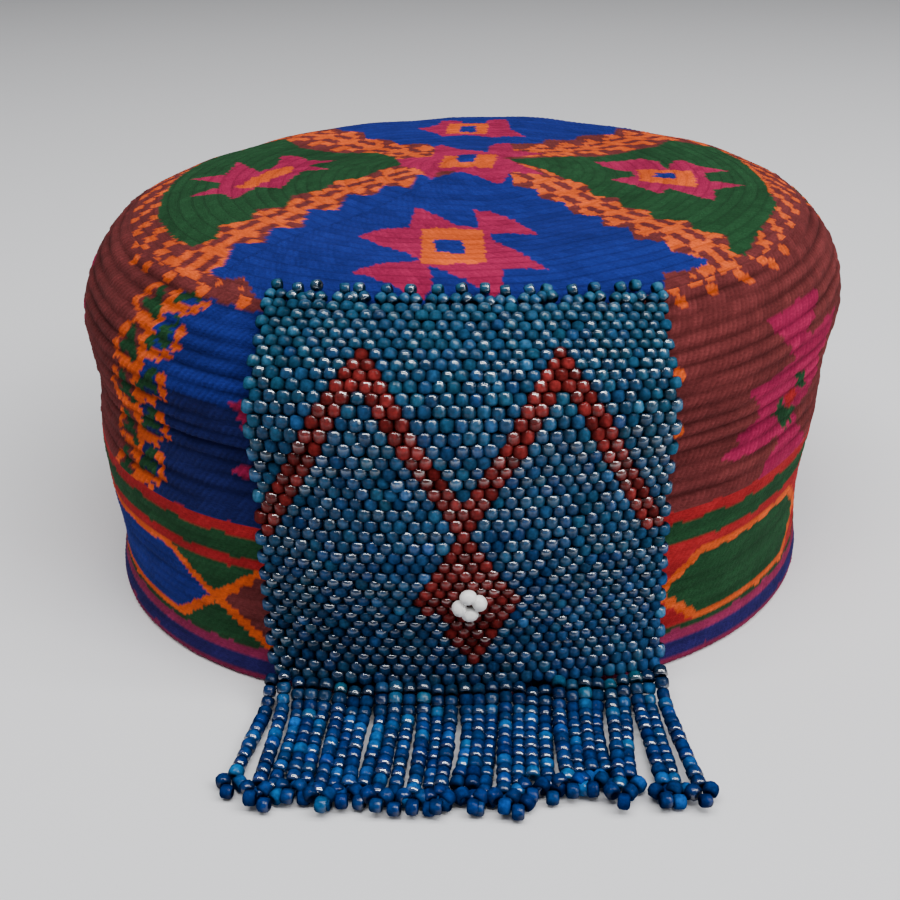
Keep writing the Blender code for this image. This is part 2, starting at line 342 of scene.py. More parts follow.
def relief(stitch, row, legs, groove):
    """Height of the fabric's face: two leaning legs to each stitch, each a bell curve across, over the
    round's arch, and a groove between rounds that is deep in some places and closed in others."""
    across = slanted(stitch, row) % 1 - 0.5
    two_legs = sum(np.exp(-(((across - side * LEG_OFF) / LEG_WIDTH) ** 2)) for side in (-1, 1))
    arch = np.sin(np.pi * (row % 1)) ** RIB_FULLNESS
    pulled = LEGS_PULLED[0] + LEGS_PULLED[1] * hand(slanted(stitch, row), row, 7.0)
    waves = ripple(stitch * 0.21, np.round(row) * 0.9, 1.0)
    depth = groove * (GROOVES_OPEN[0] + GROOVES_OPEN[1] * waves)
    return legs * (two_legs * pulled - 0.6) * arch - depth * (1 - arch)


DENTS = 0.0005
DENTS_APART = 0.02


def unevenness(arc, azimuth):
    """Soft, wide dents of a fabric that was made by hand: products of sines round and up the cap."""
    a, s = azimuth, arc / DENTS_APART
    return DENTS * (
        np.sin(3 * a + 1.1 * s) * np.cos(5 * a - 0.7 * s + 1)
        + 0.6 * np.sin(11 * a + 1.7 * s + 2) * np.cos(7 * a - 2.1 * s)
    )


def hand(stitch, row, seed):
    """A chance value from 0 to 1 that belongs to each stitch: the far decimals of a sine."""
    mixed = np.sin(np.floor(stitch) * 12.9898 + np.floor(row) * 78.233 + seed) * 43758.5453
    return mixed - np.floor(mixed)


def fed(tree, node, **inputs):
    """The node, or a new one of a kind, with inputs set to values or linked to other nodes' outputs. An
    input's name has _ for each blank."""
    if isinstance(node, str):
        node = tree.nodes.new("ShaderNode" + node)
    for name, value in inputs.items():
        socket = node.inputs[name.replace("_", " ")]
        if isinstance(value, bpy.types.NodeSocket):
            tree.links.new(value, socket)
        else:
            socket.default_value = value
    return node


def mottled_group():
    """A colour made darker and lighter by a pattern of values, and that pattern as a relief: the colour
    times the pattern, after the stretch from Low to High is brought to that from Darkest to Lightest."""
    group = bpy.data.node_groups.new("mottled", "ShaderNodeTree")
    group.interface.new_socket("Colour", in_out="INPUT", socket_type="NodeSocketColor")
    for name in ("Pattern", "Low", "High", "Darkest", "Lightest", "Strength", "Distance"):
        group.interface.new_socket(name, in_out="INPUT", socket_type="NodeSocketFloat")
    group.interface.new_socket("Colour", in_out="OUTPUT", socket_type="NodeSocketColor")
    group.interface.new_socket("Normal", in_out="OUTPUT", socket_type="NodeSocketVector")
    given = group.nodes.new("NodeGroupInput").outputs
    light = fed(
        group, "MapRange", Value=given["Pattern"], From_Min=given["Low"], From_Max=given["High"],
        To_Min=given["Darkest"], To_Max=given["Lightest"],
    )
    tint = group.nodes.new("ShaderNodeVectorMath")
    tint.operation = "SCALE"
    fed(group, tint, Vector=given["Colour"], Scale=light.outputs["Result"])
    bump = fed(
        group, "Bump", Strength=given["Strength"], Distance=given["Distance"], Height=given["Pattern"]
    )
    result = group.nodes.new("NodeGroupOutput")
    fed(group, result, Colour=tint.outputs["Vector"], Normal=bump.outputs["Normal"])
    return group


MOTTLED = mottled_group()


def mottled(tree, shader, **inputs):
    """Give the shader its colour and relief from the group."""
    node = tree.nodes.new("ShaderNodeGroup")
    node.node_tree = MOTTLED
    made = fed(tree, node, **inputs).outputs
    fed(tree, shader, Base_Color=made["Colour"], Normal=made["Normal"])


def new_material(name):
    """(the material, its node tree, its shader)"""
    made = bpy.data.materials.new(name)
    made.use_nodes = True
    return made, made.node_tree, made.node_tree.nodes["Principled BSDF"]


def painted(tree, attribute):
    """What a node reads from the colours that paint() gives a mesh."""
    node = tree.nodes.new("ShaderNodeAttribute")
    node.attribute_name = attribute
    return node.outputs


def yarn_material():
    """Hairy wool: the stitch's own yarn, twisted plies along each leg, and fine fibres over all."""
    made, tree, shader = new_material("wool_yarn")
    fed(tree, shader, Roughness=0.95, Specular_IOR_Level=0.04, Sheen_Weight=0.015, Sheen_Roughness=0.5)
    place = tree.nodes.new("ShaderNodeUVMap")
    place.uv_map = "stitches"
    plies = fed(tree, "Mapping", Vector=place.outputs["UV"], Rotation=(0, 0, -0.4), Scale=(2.2, 8.0, 1.0))
    twist = fed(tree, "TexNoise", Vector=plies.outputs["Vector"], Scale=1.0, Detail=3.0)
    body = tree.nodes.new("ShaderNodeTexCoord").outputs["Object"]
    fibres = fed(tree, "TexNoise", Vector=body, Scale=1400.0, Detail=4.0, Roughness=0.65)
    both = tree.nodes.new("ShaderNodeMath")
    both.operation = "ADD"
    tree.links.new(twist.outputs["Fac"], both.inputs[0])
    tree.links.new(fibres.outputs["Fac"], both.inputs[1])
    mottled(
        tree, shader, Colour=painted(tree, "yarn")["Color"], Pattern=both.outputs["Value"],
        Low=0.6, High=1.4, Darkest=0.72, Lightest=1.28, Strength=0.7, Distance=0.0003,
    )
    return made


WOOL_YARN = yarn_material()


def paint(mesh, attribute, colours, alpha=1.0):
    """Give each point of the mesh its colour."""
    whole = np.empty((len(mesh.vertices), 4))
    whole[:, :3] = colours.reshape(-1, 3)
    whole[:, 3] = alpha
    mesh.color_attributes.new(attribute, "FLOAT_COLOR", "POINT").data.foreach_set("color", whole.ravel())


# How light the yarn is: least, and what each stitch, each round and wide waves add to it
HEATHER = (0.80, 0.26, 0.14, 0.14)


def fabric(name, points, faces, chart, stitch, row, shade):
    """A crocheted surface: each point has its yarn's colour, a little lighter or darker from stitch to
    stitch and from round to round, and its place counted in stitches."""
    mesh = bpy.data.meshes.new(name)
    mesh.from_pydata(points.reshape(-1, 3), [], faces)
    mesh.shade_smooth()
    colours = np.array(list(YARNS.values()))[chart.reshape(-1)]
    least, own, of_round, of_waves = HEATHER
    heather = least + own * hand(slanted(stitch, row), row, 0.0) + of_round * hand(0 * stitch, row, 2.0)
    heather = heather + of_waves * ripple(stitch * 0.17, row * 0.8, 4.0)
    paint(mesh, "yarn", colours * (heather * shade).reshape(-1, 1))
    corners = np.empty(len(mesh.loops), int)
    mesh.loops.foreach_get("vertex_index", corners)
    places = np.stack([stitch.reshape(-1), row.reshape(-1)], axis=-1)[corners]
    mesh.uv_layers.new(name="stitches").data.foreach_set("uv", places.ravel())
    mesh.materials.append(WOOL_YARN)
    piece = bpy.data.objects.new(name, mesh)
    bpy.context.scene.collection.objects.link(piece)
    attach(piece, "root")
    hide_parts("crocheted_cap")


def shade_of(height):
    """Light that still reaches the yarn down between the stitches: less, the lower it lies."""
    return np.clip(0.92 + height / 0.0011, 0.42, 1.12)


def towards_middle(count, share):
    """A count of rounds or stitches with its places drawn towards the middle of each, so that colours
    change from stitch to stitch."""
    return np.floor(count) + 0.5 + share * (count % 1 - 0.5)


SEAM = 0.0014  # over this length the relief dies away towards the next piece


def crown():
    """A square grid bent into a disc: each square ring of the grid becomes a circle, and the share of
    a side that a point has passed becomes the same share of a quarter turn."""
    side = np.linspace(-1, 1, CROWN_CELLS + 1)
    a, b = np.meshgrid(side, side, indexing="ij")
    ring = np.maximum(np.abs(a), np.abs(b))
    steep = np.abs(b) > np.abs(a)
    longer = np.where(steep, b, np.where(a == 0, 1, a))
    eighth = np.pi / 4 * np.where(steep, a, b) / longer
    turn = np.where(steep, np.pi / 2 - eighth, eighth) + np.where(longer < 0, np.pi, 0.0)
    azimuth = turn + np.pi / (4 * CROWN_CELLS)
    out = ring * (ARC[-1] - CROWN_STARTS)
    arc = ARC[-1] - out
    row = out / CROWN_ROUND
    length = 2 * np.pi * (np.floor(row) + 0.5) * CROWN_ROUND
    stitches = np.maximum(np.round(length / CROWN_STITCH), FEWEST_STITCHES)
    stitch = (azimuth / (2 * np.pi) + CROWN_SHIFT * np.floor(row)) * stitches
    fade = np.clip(row, 0, 1) * np.clip((arc - CROWN_STARTS) / SEAM, 0, 1)
    height = relief(stitch, row, *CROWN_RELIEF) * fade
    points = on_cap(arc, azimuth, height + unevenness(arc, azimuth) * ring)
    read_at = towards_middle(row, 0.8) * CROWN_ROUND * 1000
    x, y = read_at * np.sin(azimuth), -read_at * np.cos(azimuth)
    right, back = CROWN_WAVERS
    chart = crown_chart(x + right * ripple(x, y, 0.0), y + back * ripple(x, y, 3.0))
    index = np.arange(len(side) ** 2).reshape(len(side), len(side))
    faces = np.stack([index[:-1, :-1], index[:-1, 1:], index[1:, 1:], index[1:, :-1]], axis=-1)
    fabric("crown", points, faces.reshape(-1, 4).tolist(), chart, stitch, row, shade_of(height))


crown()

# Wall
# The upright side above the border: fifteen rounds of thick ribs, five fields with a star each and
# five narrow dividers of leaves, all in the same fabric.

WALL_STARTS = 0.0410
WALL_ROUNDS = 15
WALL_ROUND = (CROWN_STARTS - WALL_STARTS) / WALL_ROUNDS
STITCHES_ROUND = 180
WALL_SHIFT = 0.17  # each round's stitches begin this much later than those of the round below
WALL_RELIEF = (0.00034, 0.0008)
WALL_WAVERS = (0.42, 0.55)  # the pattern strays this far, in degrees and mm
COLUMNS = 1260
WALL_ROWS = 78
PATTERN_LEAN = 0.085  # degrees to the right for each mm upwards

# The five fields: (azimuth of the divider on their left, yarn)
FIELDS = ((-51.0, "blue"), (21.0, "maroon"), (93.0, "green"), (165.0, "blue"), (-123.0, "maroon"))
DEEP_BLUE_BELOW = 69.0  # arc length in mm below which the blue fields are darker
DIVIDER_MIDDLE = 64.0  # arc length in mm where those azimuths hold

# One leaf of a divider, in strokes: (yarn, from and to in mm off its spine and down, half width)
LEAF = (
    ("orange", (0.0, -0.5), (0.3, 10.6), 1.15),
    ("orange", (0.4, 9.6), (5.2, 8.3), 1.15),
    ("orange", (5.2, 8.3), (6.0, 9.3), 1.1),
    ("green", (5.0, 1.4), (2.1, 6.8), 1.25),
    ("green", (3.6, 4.8), (7.2, 5.6), 0.85),
    ("orange", (7.5, 1.8), (8.6, 3.3), 1.15),
    ("orange", (9.5, 5.4), (10.4, 6.3), 1.1),
    ("orange", (7.6, 7.6), (8.8, 7.9), 0.8),
)
LEAF_PITCH = 10.6
LEAF_PAST_SPINE = -1.2  # a leaf reaches this far over its spine
SPINE_WAVES = 0.5  # mm to either side, once for each leaf
FIRST_LEAF = {1: 94.0, -1: 89.2}  # arc length in mm of the highest leaf's top, right and left
MM_A_DEGREE = 1.63

# The left half of the star in the right field, as azimuth and arc length in mm; the right half is
# the same turned half a turn about its middle
STAR_MIDDLE = (55.0, 59.5)
HALF_STAR = (
    ((57.5, 79.5), (53, 78), (48, 79.5), (49.5, 76), (52, 72), (54.5, 66.5), (48, 65.5))
    + ((42.5, 64.5), (45, 61), (46, 57.5), (41, 53), (37.8, 50), (41, 48.8), (50.5, 48.8))
    + ((53, 47.5), (49, 45.5), (45.2, 41), (48.5, 41))
)
STAR_CELLS = (
    ("green", ((55.2, 62.6), (58.2, 60.6), (59.7, 56), (56.5, 58))),
    ("green", ((49.6, 55.2), (51.8, 57.4), (53.8, 53.4), (57, 52.8), (55, 49.8), (53, 49))),
    ("red", ((52.6, 57), (54.8, 58.6), (56.8, 55.8), (54.3, 53.2))),
)
STAR_FIELD = 21.0  # azimuth of the divider on the left of that star
BLUE_STAR_LIFT = 2.5  # the blue fields' stars stand this much higher
FIELD_STEP = 72.0
TOP_ROUNDS = 89.5  # arc lengths in mm where the plain rounds at the crown begin,
FIRST_ROUND = 41.2  # and where the red one over the border ends

# An arm of the front field's star that shows beside the bead panel, as azimuth and arc length in mm
BLUE_STAR_ARM = ((-34.2, 69.6), (-29.0, 70.9), (-29.0, 66.0), (-31.8, 63.4), (-32.4, 68.2))

# Single orange stitches, on the maroon at the crown's edge and, the last two, beside the bead panel:
# (azimuth, arc length in mm)
DOTS = (
    ((50, 93.2), (45.8, 93.2), (42.5, 92.4), (41.5, 89.2), (34.8, 88.6), (34.5, 92), (34.8, 94.4))
    + ((48.8, 90.4), (49.8, 88.4), (57.7, 88.8), (56.2, 91), (63, 90), (61, 94), (52.5, 95.5))
    + ((-64, 89.2), (-59.5, 89.6), (-56.8, 93.2), (-53, 90.4), (-51, 93.2), (-49.2, 95.2))
    + ((-46.8, 93.2), (-45, 94.2), (-45.5, 90.6), (-48, 99), (-68, 92), (-61, 94.5), (-55, 97))
    + ((38.8, 92.4), (39.6, 92.2), (-37.4, 90.6), (-37.6, 92.6), (-38.6, 94.6), (-41, 95.2))
    + ((30.2, 73.6), (30.0, 60.4))
)
DOT = (1.15, 1.5)  # half width in degrees and half height in mm


def wrapped(degrees):
    """The same direction between -180 and 180."""
    return (degrees + 180) % 360 - 180


def wall_chart(azimuth, arc):
    """The yarn at each place of the wall, in degrees and mm."""
    chart = np.full(azimuth.shape, YARN_NAMES.index("maroon"))
    upright = azimuth - PATTERN_LEAN * (arc - DIVIDER_MIDDLE)
    star = HALF_STAR + tuple((2 * STAR_MIDDLE[0] - a, 2 * STAR_MIDDLE[1] - s) for a, s in HALF_STAR)
    for start, yarn in FIELDS:
        field = (upright - start) % 360 < FIELD_STEP
        dye(chart, field, yarn)
        if yarn == "blue":
            dye(chart, field & (arc < DEEP_BLUE_BELOW), "deep blue")
        turned = wrapped(azimuth - start + STAR_FIELD)
        lowered = arc - (BLUE_STAR_LIFT if yarn == "blue" else 0.0)
        dye(chart, field & within(star, turned, lowered), "magenta")
        for cell, corners in STAR_CELLS:
            dye(chart, field & within(corners, turned, lowered), cell)
    dye(chart, within(BLUE_STAR_ARM, wrapped(azimuth), arc), "magenta")
    for start, _ in FIELDS:
        right = wrapped(upright - start) * MM_A_DEGREE
        right = right + SPINE_WAVES * np.sin(arc * 2 * np.pi / LEAF_PITCH)
        for side, top in FIRST_LEAF.items():
            down = (top - arc) % LEAF_PITCH
            for yarn, upper, lower, half_width in LEAF:
                _, off = along_line((upper, lower), side * right, down)
                dye(chart, (np.abs(off) < half_width) & (side * right > LEAF_PAST_SPINE), yarn)
    dye(chart, arc > TOP_ROUNDS, "maroon")
    dye(chart, arc < FIRST_ROUND, "red")
    return chart


def dotted(chart, azimuth, arc):
    """The chart with an ellipse of orange at each of DOTS."""
    for a, s in DOTS:
        off = wrapped(azimuth - a) / DOT[0], (arc - s) / DOT[1]
        dye(chart, off[0] ** 2 + off[1] ** 2 < 1, "orange")
    return chart


def ribbon_faces(rows, columns):
    """Quads of a grid of points whose last column joins its first."""
    index = np.arange(rows * columns).reshape(rows, columns)
    beside = np.roll(index, -1, axis=1)
    return np.stack([index[:-1], beside[:-1], beside[1:], index[1:]], axis=-1).reshape(-1, 4)


def grid(arcs, columns=COLUMNS):
    """(arc length, azimuth) of points in rows that go once round the cap."""
    azimuth = np.linspace(0, 2 * np.pi, columns, endpoint=False)
    return arcs[:, None] + 0 * azimuth, azimuth + 0 * arcs[:, None]


def wavering(azimuth, arc, sideways, upwards):
    """How far the pattern strays from its place, in degrees and mm: smooth waves a few mm long."""
    degrees = np.degrees(azimuth)
    return sideways * ripple(degrees * 0.9, arc * 900, 0.0), upwards * ripple(degrees * 0.8, arc * 1000, 3.0)


def wall():
    """Rows of points from the border up to the crown."""
    arc, azimuth = grid(np.linspace(WALL_STARTS, CROWN_STARTS, WALL_ROWS + 1))
    row = (arc - WALL_STARTS) / WALL_ROUND
    stitch = azimuth / (2 * np.pi) * STITCHES_ROUND - WALL_SHIFT * np.floor(row)
    fade = np.clip(np.minimum(arc - WALL_STARTS, CROWN_STARTS - arc) / SEAM, 0, 1)
    height = relief(stitch, row, *WALL_RELIEF) * fade
    points = on_cap(arc, azimuth, height + unevenness(arc, azimuth))
    read_arc = towards_middle(row, 0.75) * WALL_ROUND * 1000 + WALL_STARTS * 1000
    leaning = slanted(stitch, row)
    read_stitch = towards_middle(leaning, 0.7) + stitch - leaning
    read_azimuth = (read_stitch + WALL_SHIFT * np.floor(row)) * 360 / STITCHES_ROUND
    right, up = wavering(azimuth, arc, *WALL_WAVERS)
    chart = dotted(wall_chart(read_azimuth + right, read_arc + up), np.degrees(azimuth), arc * 1000)
    faces = ribbon_faces(WALL_ROWS + 1, COLUMNS).tolist()
    fabric("wall", points, faces, chart, stitch, row, shade_of(height))


wall()

# Border
# The striped band under the wall: red, green and red rounds, a row of long hexagons between orange
# lines that cross, and plain rounds down to the rounded rim, which turns in under the cap.

BORDER_ROUNDS = 14
RIM_RADIUS = WALL / 2
BORDER_ROUND = (WALL_STARTS - RIM_RADIUS) / BORDER_ROUNDS
BORDER_SHIFT = 0.15
BORDER_RELIEF = (0.0002, 0.0003)
BORDER_WAVERS = (0.35, 0.30)
BORDER_ROWS = 54
RIM_ROWS = 8
RIM_TURNED_IN = 0.006  # what turns in under the rim counts as this much arc length
DENTS_FROM = 0.02  # below this arc length the dents die away

# The plain stripes: (yarn, lowest arc length in mm)
STRIPES = (
    ("plum", -9.0), ("navy", 2.3), ("plum", 5.8), ("dark green", 8.2),
    ("red", 29.6), ("green", 32.4), ("red", 38.0),
)

# Where the orange lines cross: (azimuth, yarn above and below, yarn of the hexagon on the right)
CROSSINGS = (
    (-38.0, "green", "maroon"),
    (-5.0, "red", "blue"),
    (27.5, "red", "green"),
    (66.0, "red", "navy"),
    (104.0, "green", "maroon"),
    (142.0, "red", "blue"),
    (180.0, "green", "green"),
    (-142.0, "red", "navy"),
    (-110.0, "green", "maroon"),
    (-77.0, "red", "blue"),
)
LATTICE = (9.2, 19.3, 29.6)  # its lowest, middle and highest arc length in mm
LINE = 1.7  # width of the orange lines along the lattice, in mm
ARM_SLOPE = 0.8  # degrees that a crossing's line goes sideways for each mm of height
ARM_HALF_WIDTH = 1.15  # in degrees


def border_chart(azimuth, arc):
    """The yarn at each place of the border, in degrees and mm."""
    chart = np.zeros(azimuth.shape, int)
    for yarn, lowest in STRIPES:
        dye(chart, arc >= lowest, yarn)
    low, middle, high = LATTICE
    lattice = (arc >= low) & (arc < high)
    from_line = np.minimum(arc - low, high - arc)
    ordered = sorted(CROSSINGS)
    for (start, _, yarn), (stop, _, _) in zip(ordered, ordered[1:] + ordered[:1]):
        hexagon = lattice & ((azimuth - start) % 360 < (stop - start) % 360)
        dye(chart, hexagon, yarn)
        dye(chart, hexagon & (from_line < LINE), "orange")
    for start, yarn, _ in CROSSINGS:
        off = np.abs(wrapped(azimuth - start)) - ARM_SLOPE * np.abs(arc - middle)
        dye(chart, lattice & (off < 0), yarn)
        dye(chart, lattice & (np.abs(off) < ARM_HALF_WIDTH), "orange")
    return chart


def border():
    """Rows of points from under the rim, half a turn round its edge and up to the wall."""
    bend = np.linspace(-np.pi, 0, RIM_ROWS + 1)[:-1, None]
    arc, above = grid(np.linspace(RIM_RADIUS, WALL_STARTS, BORDER_ROWS + 1))
    counted, azimuth = grid(np.r_[bend[:, 0] / np.pi * RIM_TURNED_IN + RIM_RADIUS, arc[:, 0]])
    row = (counted - RIM_RADIUS) / BORDER_ROUND
    stitch = azimuth / (2 * np.pi) * STITCHES_ROUND - BORDER_SHIFT * np.floor(row)
    height = relief(stitch, row, *BORDER_RELIEF) * np.clip((WALL_STARTS - counted) / SEAM, 0, 1)
    height[:2] = 0
    under = RIM_RADIUS + height[:RIM_ROWS]
    radius = outline(RIM_RADIUS)[0] - RIM_RADIUS + under * np.cos(bend)
    level = RIM_RADIUS + np.maximum(under * np.sin(bend), -RIM_RADIUS)
    lower = settled(radius, level, azimuth[:RIM_ROWS])
    dents = unevenness(arc, above) * np.clip(arc / DENTS_FROM, 0, 1)
    upper = on_cap(arc, above, height[RIM_ROWS:] + dents)
    read_azimuth = (towards_middle(stitch, 0.7) + BORDER_SHIFT * np.floor(row)) * 360 / STITCHES_ROUND
    right, up = wavering(azimuth, counted, *BORDER_WAVERS)
    chart = border_chart(read_azimuth + right, counted * 1000 + up)
    faces = ribbon_faces(RIM_ROWS + BORDER_ROWS + 1, COLUMNS).tolist()
    fabric("border", np.vstack([lower, upper]), faces, chart, stitch, row, shade_of(height))


border()

# Inside of the cap
# The back of the same fabric, where the yarns that aren't in use run along behind the stitches, so
# its colours are more mixed.

INSIDE_COLUMNS = 420
INSIDE_ROWS = 84
INSIDE_RIBS = 0.0003
RIBS_FROM = 0.006  # below this arc length they die away
INSIDE_SHADE = 0.8


def inside():
    """Rows of points from the rim up to the crown's centre, which is one point more."""
    arc, azimuth = grid(np.linspace(RIM_RADIUS, ARC[-1], INSIDE_ROWS + 1)[:-1], INSIDE_COLUMNS)
    row = arc / WALL_ROUND
    stitch = azimuth / (2 * np.pi) * INSIDE_COLUMNS / 4
    height = INSIDE_RIBS * np.cos(2 * np.pi * row) * np.clip(arc / RIBS_FROM, 0, 1)
    points = on_cap(arc, azimuth, -WALL + height).reshape(-1, 3)
    points = np.vstack([points, on_cap(ARC[-1:], np.zeros(1), -WALL)])
    out, degrees, arc_mm = (ARC[-1] - arc) * 1000, np.degrees(azimuth), arc * 1000
    chart = crown_chart(out * np.sin(azimuth), -out * np.cos(azimuth))
    chart = np.where(arc > CROWN_STARTS, chart, wall_chart(degrees, arc_mm))
    chart = np.where(arc < WALL_STARTS, border_chart(degrees, arc_mm), chart)
    faces = ribbon_faces(INSIDE_ROWS, INSIDE_COLUMNS)[:, ::-1].tolist()
    centre = len(points) - 1
    last = np.arange(centre - INSIDE_COLUMNS, centre)
    faces += np.stack([np.roll(last, -1), last, 0 * last + centre], axis=-1).tolist()
    counted = [np.append(values, 0) for values in (chart, stitch, row)]
    fabric("cap_inside", points, faces, *counted, np.append(shade_of(height) * INSIDE_SHADE, INSIDE_SHADE))


inside()

# Bead panel
# Size 8/0 seed beads in brick stitch, 38 rows of 31 and 30 by turns, sewn to the cap's front:
# silver-lined blue-green glass, with a zigzag and a lozenge in red.

GAP = 0.0003  # between the wool and the beads
BEAD = 0.003
PANEL_CENTRE = math.radians(-0.8)
PANEL_TOP = 0.0940  # arc length of the top edge's middle
PANEL_TOP_DROP = 0.0040  # its corners lie this much lower
PANEL_TOP_SLANT = 0.0015  # and the right one this much lower still, the left one higher
PANEL_FOOT = 0.0035
PANEL_STANDS_OFF = (("left", 0.0024), ("middle", 0.0), ("right", 0.0074))  # off the wool at the foot
STANDS_OFF_BELOW = 0.040  # arc length where that starts
DRIFT = 0.05  # low down the middle of the panel leans this far to the right, of its half width
DRIFTS_BELOW = 0.42  # share of its height
ROWS_WANDER = 0.05  # of the rows' distance
PLACES_WANDER = 0.0014  # of the panel's half width
PROUD_SPREAD = 0.00014  # how unevenly the beads stand proud
FACES_TILT = 0.08  # how unevenly they face outwards,
HOLES_TILT = 0.07  # and how unevenly their holes point
PANEL_BEAD_WIDTH = (1.09, 0.02)  # against the room that a bead has, and its spread
PANEL_BEAD_LENGTH = (1.16, 0.03)  # against the rows' distance, and its spread
BEAD_ROWS = 38
HALF_BEADS = 31  # half beads from the middle to the panel's edge

# Half of the panel's width along the round outline: (place, share of its height, half width)
PANEL_WIDTHS = (
    ("foot", 0.0, 0.0432),
    ("middle", 0.5, 0.0455),
    ("widest", 0.75, 0.0483),
    ("top", 1.0, 0.0464),
)

# The rows lie closer together near the top and low down: (row, share of the panel's height)
ROWS_LIE = (
    (0, 0.984), (5, 0.883), (10, 0.765), (15, 0.617), (21, 0.447), (28, 0.277), (34, 0.126), (37, 0.040),
)

# One bead's half section, as shares of its width and length: (radius, along)
BEAD_SECTION = (
    (0.0, -0.32), (0.18, -0.45), (0.36, -0.49), (0.48, -0.33), (0.5, 0.0),
    (0.48, 0.33), (0.36, 0.49), (0.18, 0.45), (0.0, 0.32),
)
BEAD_SIDES = 10
PAINTED_LIGHT_AND_SHADE = (0.15, 0.35, 0.65, 1.0, 1.15, 1.0, 0.65, 0.35, 0.15)  # painted light and shade: how bright the glass is painted at each of these, darkest at the hole's ends, where the beads shade each other
SHINE = (0.03, 0.03, 0.03, 0.04, 0.15, 1.0, 1.0, 0.10, 0.03)  # and how much the lining shines there

# The pattern in red, counted in half beads from its own middle
PATTERN_MIDDLE = -1
ZIGZAG_PEAK = (5, 14)  # row and half bead of its two peaks
ZIGZAG_ENDS = 21  # the last row that it reaches
ZIGZAG_WIDTH = 4  # of each slope, in half beads

# The lozenge: (row, first and last half bead)
LOZENGE = (
    ((22, -1, 1), (23, -2, 2), (24, -3, 3), (25, -4, 4), (26, -5, 5), (27, -6, 6), (28, -7, 7))
    + ((29, -6, 6), (30, -3, 5), (31, -2, 4), (32, -3, 3), (33, -2, 2), (34, -1, 1), (35, 0, 0))
)


def row_height(row):
    """The share of the panel's height where a row lies, on a spline through ROWS_LIE."""
    rows, shares = np.array(ROWS_LIE).T
    return spline(rows, shares, row)


NEARBY = 0.01  # a step along the panel, which shows its direction and its scale there


def drift(up):
    """How far the middle leans sideways at this height: nothing higher up, all of it at the foot."""
    return DRIFT * np.maximum(1 - up / DRIFTS_BELOW, 0)


def panel_place(across, up, outwards=GAP, foot=PANEL_FOOT):
    """Points off the wool: across runs from -1 to 1, and up from 0 at the panel's foot to 1. Low down a
    parabola through the three distances of PANEL_STANDS_OFF moves them forwards."""
    top = PANEL_TOP - PANEL_TOP_DROP * across**2 - PANEL_TOP_SLANT * across
    arc = foot + (top - foot) * up
    _, shares, halves = zip(*PANEL_WIDTHS)
    azimuth = PANEL_CENTRE + across * np.interp(up, shares, halves) / outline(arc)[0]
    left, middle, right = (distance for _, distance in PANEL_STANDS_OFF)
    off = middle + (right - left) / 2 * across + ((right + left) / 2 - middle) * across**2
    off = off * np.maximum(1 - np.maximum(arc, PANEL_FOOT) / STANDS_OFF_BELOW, 0.0) ** 2
    return on_cap(arc, azimuth, outwards) - off[..., None] * (0.0, 1.0, 0.0)


def unit(vectors):
    """The vectors, each made one long."""
    return vectors / np.linalg.norm(vectors, axis=-1, keepdims=True)


def glass_material():
    """Silver-lined glass: its colour from the attribute, and in alpha how much the lining shines there."""
    made, tree, shader = new_material("silver_lined_glass")
    glass = painted(tree, "glass")
    fed(
        tree, shader, Metallic=0.0, Roughness=0.5, Specular_IOR_Level=0.0,
        Coat_Weight=glass["Alpha"], Coat_Roughness=0.04, Coat_IOR=3.2,
    )
    body = tree.nodes.new("ShaderNodeTexCoord").outputs["Object"]
    # Small lighter and darker patches painted into the glass's colour are painted reflections of the silver
    # lining; the same noise gives a bump.
    lining = fed(tree, "TexNoise", Vector=body, Scale=900.0, Detail=2.0)
    mottled(
        tree, shader, Colour=glass["Color"], Pattern=lining.outputs["Fac"], Low=0.35, High=0.7,
        Darkest=0.7, Lightest=1.4, Strength=0.6, Distance=0.0002,
    )
    return made


def chalk_material():
    """Opaque white glass."""
    made, tree, shader = new_material("chalk_glass")
    fed(tree, shader, Base_Color=(0.84, 0.84, 0.82, 1.0), Roughness=0.3)
    return made


GLASS = glass_material()
CHALK = chalk_material()
chance = np.random.default_rng(8)


